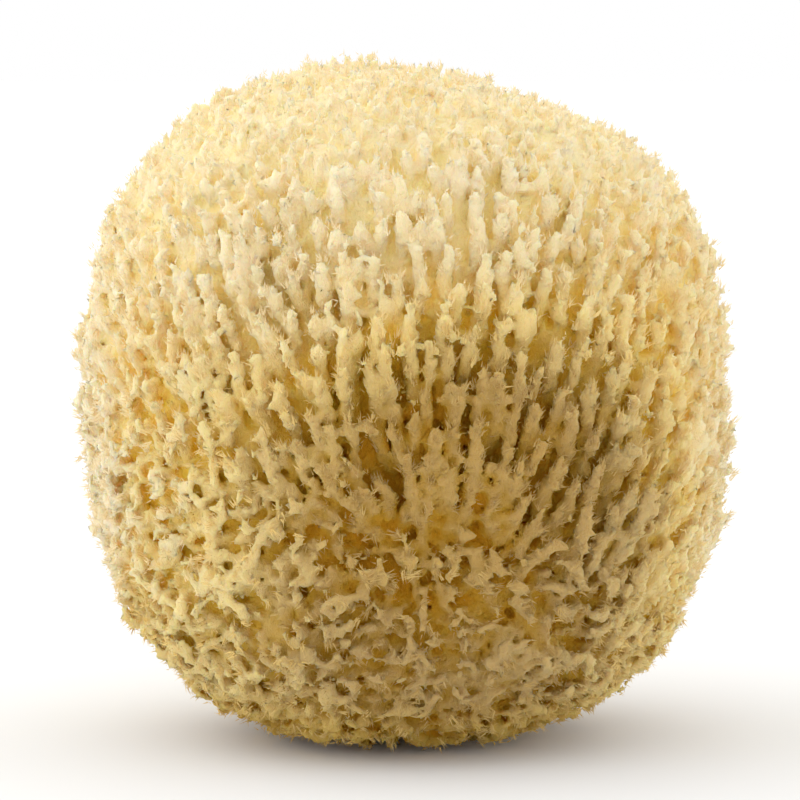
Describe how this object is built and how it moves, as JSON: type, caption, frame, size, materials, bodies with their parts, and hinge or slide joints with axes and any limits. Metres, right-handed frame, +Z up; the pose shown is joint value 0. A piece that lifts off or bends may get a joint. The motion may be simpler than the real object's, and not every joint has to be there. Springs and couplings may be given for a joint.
{
  "type": "natural sea sponge",
  "caption": "Round-square natural wool sponge for bathing, densely tufted all over with a porous lower face, resting on the flat cut where it grew.",
  "frame": {"origin": "middle of the overall box at the height of the flat cut that the sponge rests on", "axes": "+Z up from the cut base to the crown, -Y towards the porous front face, +X to the right seen from the front"},
  "size_m": [0.131, 0.125, 0.136],
  "materials": {
    "spongin": "matte"
  },
  "bodies": {
    "root": {"sponge": "spongin"}
  },
  "joints": []
}
